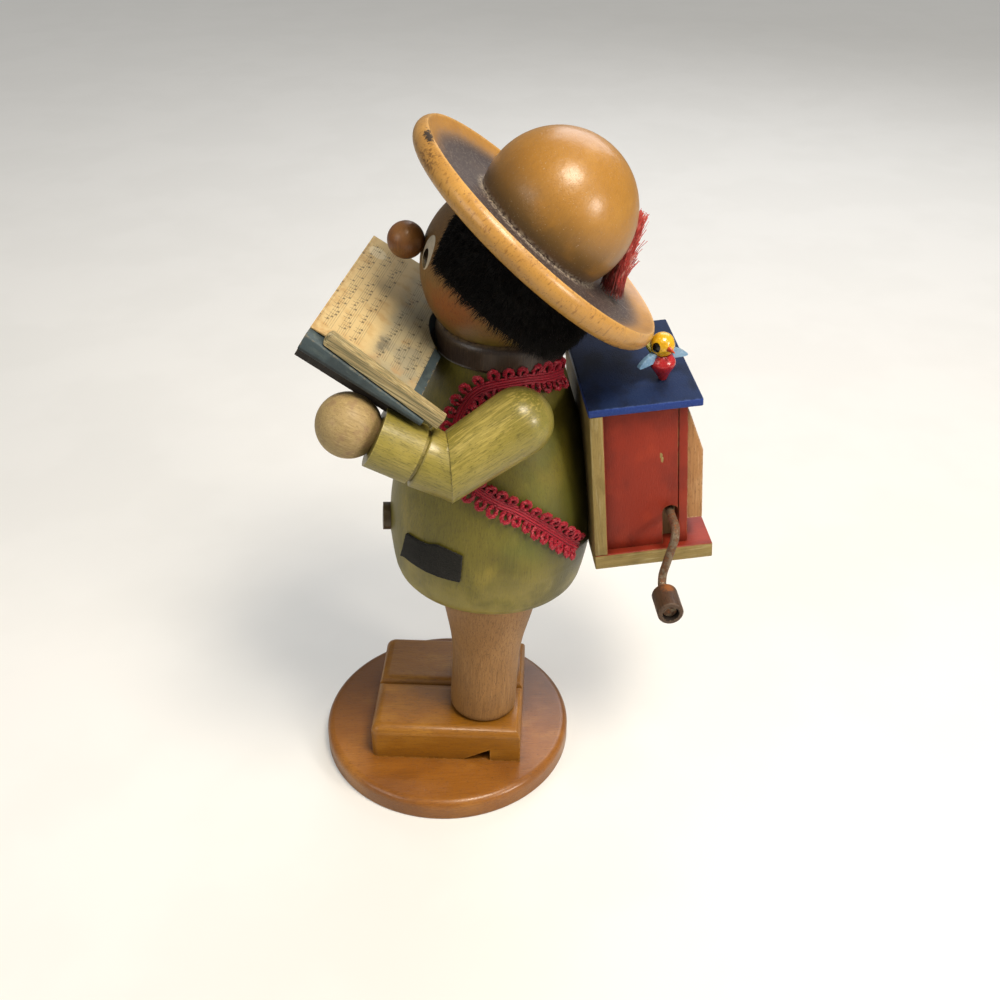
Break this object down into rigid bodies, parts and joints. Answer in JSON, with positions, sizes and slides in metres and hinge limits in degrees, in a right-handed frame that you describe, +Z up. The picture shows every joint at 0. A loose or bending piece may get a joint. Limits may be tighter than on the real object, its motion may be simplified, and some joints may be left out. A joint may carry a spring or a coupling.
{
  "type": "incense smoker figure",
  "caption": "Turned wooden incense smoker: an organ player with a wide hat and open song book, hollow body that lifts off the burner plate, cranked barrel organ with a bird on the back.",
  "frame": {"origin": "centre of the underside of the base disc", "axes": "+Z up, the figure faces -Y, its left hand and the organ crank are on the +X side"},
  "size_m": [0.09, 0.1166, 0.2034],
  "materials": {
    "orange_stained_wood": "satin varnish over orange stain",
    "plain_wood": "bare, lightly varnished beech",
    "burner_brass": "dull, smoke stained",
    "tack_steel": "dull",
    "green_stained_wood": "satin varnish over olive green stain",
    "brown_wood": "gloss varnish",
    "grey_felt": "felt",
    "red_braid": "woven braid with loops",
    "dark_brown_wood": "satin paint, scratched",
    "face_wood": "satin varnish, painted face",
    "nose_wood": "gloss varnish",
    "black_fur": "fur",
    "hat_wood": "satin varnish, smoke stained",
    "red_feather": "feather down",
    "hand_wood": "bare, worn",
    "printed_paper": "aged matt print",
    "page_block_wood": "matt grey blue paint",
    "book_cover_wood": "matt dark paint",
    "stick_wood": "weathered",
    "gold_edged_wood": "cream paint, rubbed",
    "blue_painted_wood": "satin paint",
    "red_painted_wood": "satin paint",
    "pipe_wood": "bare",
    "rusty_wire": "rusted",
    "sleeve_wood": "dark, worn",
    "bird_red": "gloss paint",
    "bird_yellow": "gloss paint",
    "bird_orange": "gloss paint",
    "bird_blue": "gloss paint",
    "bird_green": "gloss paint"
  },
  "bodies": {
    "stand": {"base_disc": "orange_stained_wood", "left_shoe": "orange_stained_wood", "right_shoe": "orange_stained_wood", "left_leg": "plain_wood", "right_leg": "plain_wood", "waist_plug": "plain_wood", "burner_plate": "burner_brass", "burner_tack": "tack_steel"},
    "figure": {"coat": "green_stained_wood", "coat_buttons": "brown_wood", "coat_patch": "grey_felt", "left_strap": "red_braid", "right_strap": "red_braid", "neck_scarf": "dark_brown_wood", "head": "face_wood", "nose": "nose_wood", "hair": "black_fur", "hat": "hat_wood", "hat_feather": "red_feather", "left_upper_arm": "green_stained_wood", "right_upper_arm": "green_stained_wood", "left_forearm": "green_stained_wood", "right_forearm": "green_stained_wood", "left_hand": "hand_wood", "right_hand": "hand_wood", "left_shoulder_peg": "plain_wood", "right_shoulder_peg": "plain_wood", "song_sheet": "printed_paper", "page_block": "page_block_wood", "book_cover": "book_cover_wood", "pointing_stick": "stick_wood", "organ_base": "gold_edged_wood", "organ_back_board": "gold_edged_wood", "organ_roof": "blue_painted_wood", "organ_left_side": "red_painted_wood", "organ_right_side": "red_painted_wood", "organ_front_board": "red_painted_wood", "organ_pipes": "pipe_wood", "crank_bearing": "plain_wood", "bird_body": "bird_red", "bird_head": "bird_yellow", "bird_beak": "bird_orange", "bird_wings": "bird_blue", "bird_tail": "bird_green"},
    "crank": {"crank_wire": "rusty_wire"},
    "sleeve": {"crank_sleeve": "sleeve_wood"}
  },
  "joints": [
    {"name": "torso_lift", "type": "slide", "parent": "stand", "child": "figure", "axis": [0, 0.0523, 0.9986], "range_m": [0, 0.05]},
    {"name": "crank_spin", "type": "hinge", "parent": "figure", "child": "crank", "pos_m": [0, 0.06388, 0.09893], "axis": [1, 0, 0], "continuous": true},
    {"name": "sleeve_spin", "type": "hinge", "parent": "crank", "child": "sleeve", "pos_m": [0.0414, 0.06028, 0.08213], "axis": [1, 0, 0], "continuous": true}
  ]
}
